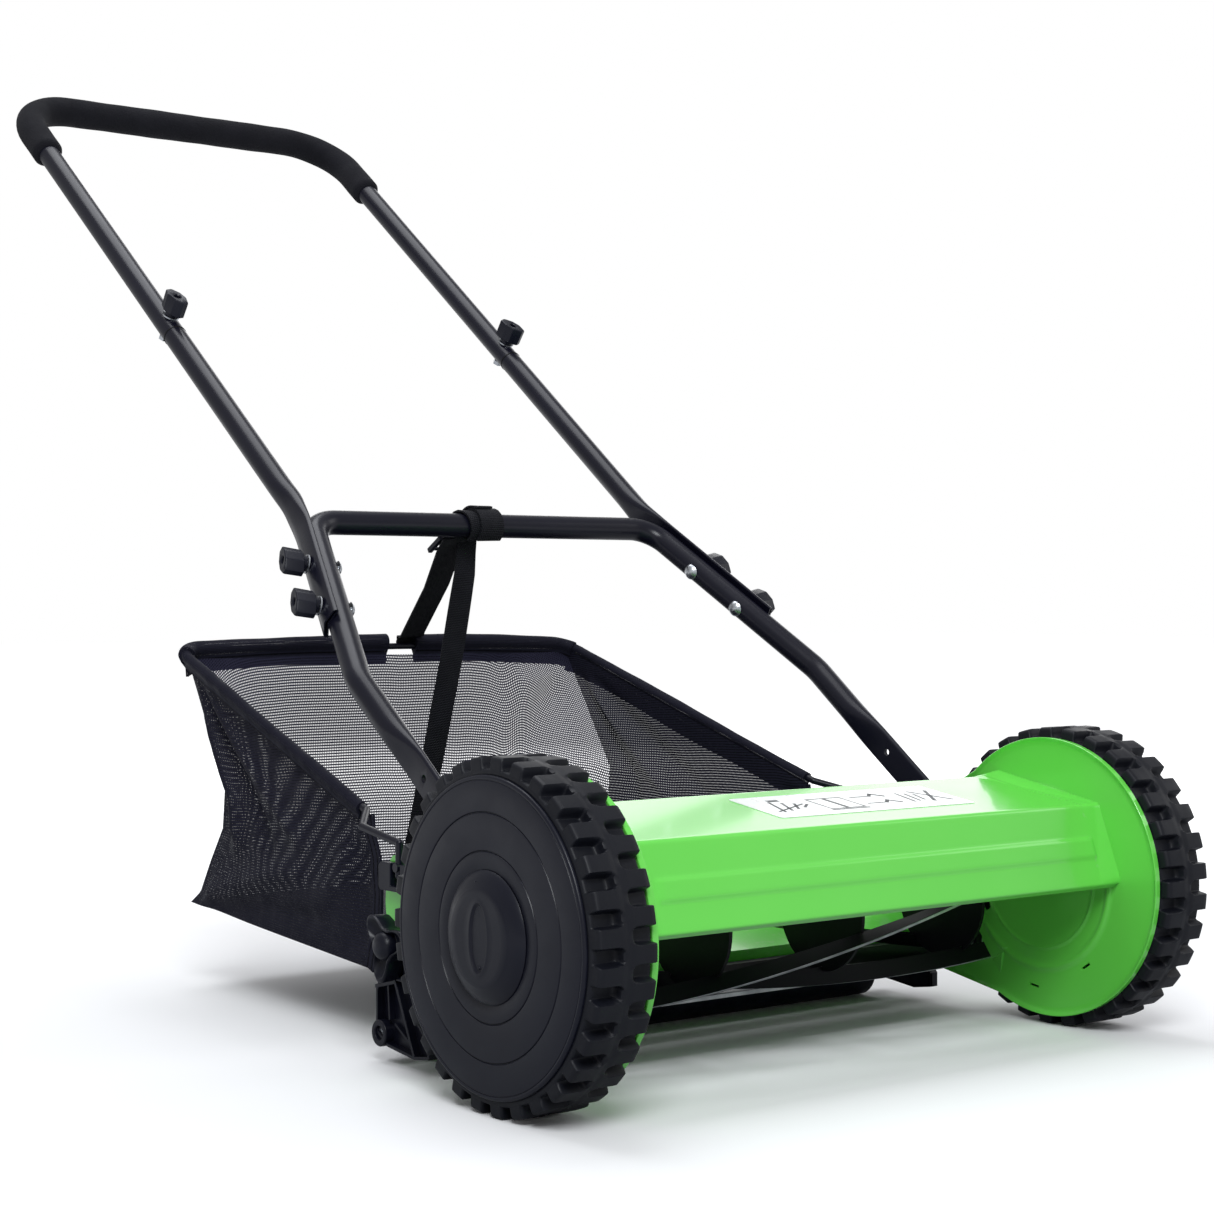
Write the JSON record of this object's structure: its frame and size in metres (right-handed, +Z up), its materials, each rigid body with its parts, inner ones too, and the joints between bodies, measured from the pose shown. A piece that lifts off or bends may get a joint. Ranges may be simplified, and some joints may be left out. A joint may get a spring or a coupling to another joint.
{
  "type": "reel mower",
  "caption": "Hand-pushed reel lawn mower with a helical cutting reel driven by the wheels, height-adjustable rear roller, folding-tube handle and mesh grass catcher.",
  "frame": {"origin": "on the ground, midway between the two wheels, straight below the wheel axle", "axes": "+Z up, +Y from the wheels towards the handle, so the mower is pushed towards -Y, +X towards the operator's left"},
  "size_m": [0.6172, 1.1651, 0.8731],
  "materials": {
    "green_paint": "bright yellow-green gloss enamel on pressed steel",
    "zinc_steel": "bright zinc-plated steel",
    "label_film": null,
    "black_plastic": "moulded black plastic with a fine satin texture",
    "black_paint": "black satin paint on steel strip",
    "blade_steel": "ground steel edge",
    "tyre_rubber": "moulded black tread with deep staggered lugs",
    "bush_nylon": "natural nylon",
    "tube_paint": "gloss black powder coat on steel tube",
    "grip_foam": "matt black closed-cell foam",
    "mesh_fabric": "black open polyester mesh with bound hems",
    "webbing": "black woven polypropylene webbing"
  },
  "bodies": {
    "chassis": {"side_plate_right": "green_paint", "side_plate_left": "green_paint", "cover": "green_paint", "rear_apron": "green_paint", "front_tie_rod": "zinc_steel", "axle_studs": "zinc_steel", "stud_clips": "zinc_steel", "reel_bearings": "zinc_steel", "deck_screws": "zinc_steel", "cover_label": "label_film", "handle_pivots": "zinc_steel", "bedknife_pivots": "zinc_steel", "bedknife_adjusters": "zinc_steel", "catcher_hangers": "black_plastic", "height_bolts": "zinc_steel"},
    "bedknife": {"bedknife_bar": "black_paint", "bedknife_blade": "blade_steel", "bedknife_rivets": "zinc_steel"},
    "reel": {"reel_shaft": "zinc_steel", "reel_spiders": "black_paint", "reel_blades": "black_paint", "drive_pinions": "zinc_steel", "drive_pawls": "zinc_steel", "pinion_clips": "zinc_steel"},
    "wheel_right": {"tyre_right": "tyre_rubber", "wheel_disc_right": "black_plastic", "ring_gear_right": "black_plastic", "wheel_bush_right": "bush_nylon", "hub_cap_right": "black_plastic"},
    "wheel_left": {"tyre_left": "tyre_rubber", "wheel_disc_left": "black_plastic", "ring_gear_left": "black_plastic", "wheel_bush_left": "bush_nylon", "hub_cap_left": "black_plastic"},
    "roller_carriage": {"roller_arms": "black_plastic", "roller_axle": "zinc_steel"},
    "roller": {"roller": "black_plastic"},
    "height_knob_right": {"height_knob_right": "black_plastic"},
    "height_knob_left": {"height_knob_left": "black_plastic"},
    "handle": {"lower_frame": "tube_paint", "mid_tube_right": "tube_paint", "mid_tube_left": "tube_paint", "upper_handle": "tube_paint", "foam_grip": "grip_foam", "clamp_bolts": "zinc_steel", "seam_bolts": "zinc_steel", "knob_washers": "zinc_steel", "rear_strap": "webbing", "lift_strap": "webbing", "strap_buckle": "black_plastic"},
    "catcher": {"catcher_frame": "tube_paint", "catcher_bag": "mesh_fabric"},
    "seam_knob_right": {"seam_knob_right": "black_plastic"},
    "seam_knob_left": {"seam_knob_left": "black_plastic"},
    "clamp_knob_upper_right": {"clamp_knob_upper_right": "black_plastic"},
    "clamp_knob_upper_left": {"clamp_knob_upper_left": "black_plastic"},
    "clamp_knob_lower_right": {"clamp_knob_lower_right": "black_plastic"},
    "clamp_knob_lower_left": {"clamp_knob_lower_left": "black_plastic"}
  },
  "joints": [
    {"name": "reel_spin", "type": "hinge", "parent": "chassis", "child": "reel", "pos_m": [0, 0.072, 0.099], "axis": [1, 0, 0], "continuous": true},
    {"name": "wheel_right_spin", "type": "hinge", "parent": "chassis", "child": "wheel_right", "pos_m": [-0.275, 0, 0.12], "axis": [1, 0, 0], "continuous": true},
    {"name": "wheel_left_spin", "type": "hinge", "parent": "chassis", "child": "wheel_left", "pos_m": [0.275, 0, 0.12], "axis": [1, 0, 0], "continuous": true},
    {"name": "bedknife_adjust", "type": "hinge", "parent": "chassis", "child": "bedknife", "pos_m": [0, 0.078, 0.059], "axis": [1, 0, 0], "range_deg": [-2, 0]},
    {"name": "height_slide", "type": "slide", "parent": "chassis", "child": "roller_carriage", "axis": [0, 0, 1], "range_m": [0, 0.02]},
    {"name": "roller_spin", "type": "hinge", "parent": "roller_carriage", "child": "roller", "pos_m": [0, 0.1994, 0.022], "axis": [1, 0, 0], "continuous": true},
    {"name": "handle_pivot", "type": "hinge", "parent": "chassis", "child": "handle", "pos_m": [0, 0.104, 0.1602], "axis": [1, 0, 0], "range_deg": [0, 10]},
    {"name": "catcher_lift", "type": "hinge", "parent": "chassis", "child": "catcher", "pos_m": [0, 0.182, 0.146], "axis": [1, 0, 0], "range_deg": [0, 12]},
    {"name": "height_knob_right_turn", "type": "hinge", "parent": "chassis", "child": "height_knob_right", "pos_m": [-0.265, 0.173, 0.091], "axis": [-1, 0, 0], "range_deg": [0, 630]},
    {"name": "seam_knob_right_turn", "type": "hinge", "parent": "handle", "child": "seam_knob_right", "pos_m": [-0.1885, 0.67379, 0.60709], "axis": [0, -0.6018, 0.7986], "range_deg": [0, 630]},
    {"name": "clamp_knob_upper_right_turn", "type": "hinge", "parent": "handle", "child": "clamp_knob_upper_right", "pos_m": [-0.22812, 0.38813, 0.3743], "axis": [-0.9659, 0.2067, 0.1558], "range_deg": [0, 630]},
    {"name": "clamp_knob_lower_right_turn", "type": "hinge", "parent": "handle", "child": "clamp_knob_lower_right", "pos_m": [-0.24313, 0.3434, 0.3406], "axis": [-0.9659, 0.2067, 0.1558], "range_deg": [0, 630]},
    {"name": "height_knob_left_turn", "type": "hinge", "parent": "chassis", "child": "height_knob_left", "pos_m": [0.265, 0.173, 0.091], "axis": [1, 0, 0], "range_deg": [0, 630]},
    {"name": "seam_knob_left_turn", "type": "hinge", "parent": "handle", "child": "seam_knob_left", "pos_m": [0.1885, 0.67379, 0.60709], "axis": [0, -0.6018, 0.7986], "range_deg": [0, 630]},
    {"name": "clamp_knob_upper_left_turn", "type": "hinge", "parent": "handle", "child": "clamp_knob_upper_left", "pos_m": [0.22812, 0.38813, 0.3743], "axis": [0.9659, 0.2067, 0.1558], "range_deg": [0, 630]},
    {"name": "clamp_knob_lower_left_turn", "type": "hinge", "parent": "handle", "child": "clamp_knob_lower_left", "pos_m": [0.24313, 0.3434, 0.3406], "axis": [0.9659, 0.2067, 0.1558], "range_deg": [0, 630]}
  ],
  "couplings": [
    {"joint": "wheel_right_spin", "follows": "reel_spin", "ratio": 0.16667},
    {"joint": "wheel_left_spin", "follows": "reel_spin", "ratio": 0.16667},
    {"joint": "catcher_lift", "follows": "handle_pivot", "ratio": 1.167}
  ]
}
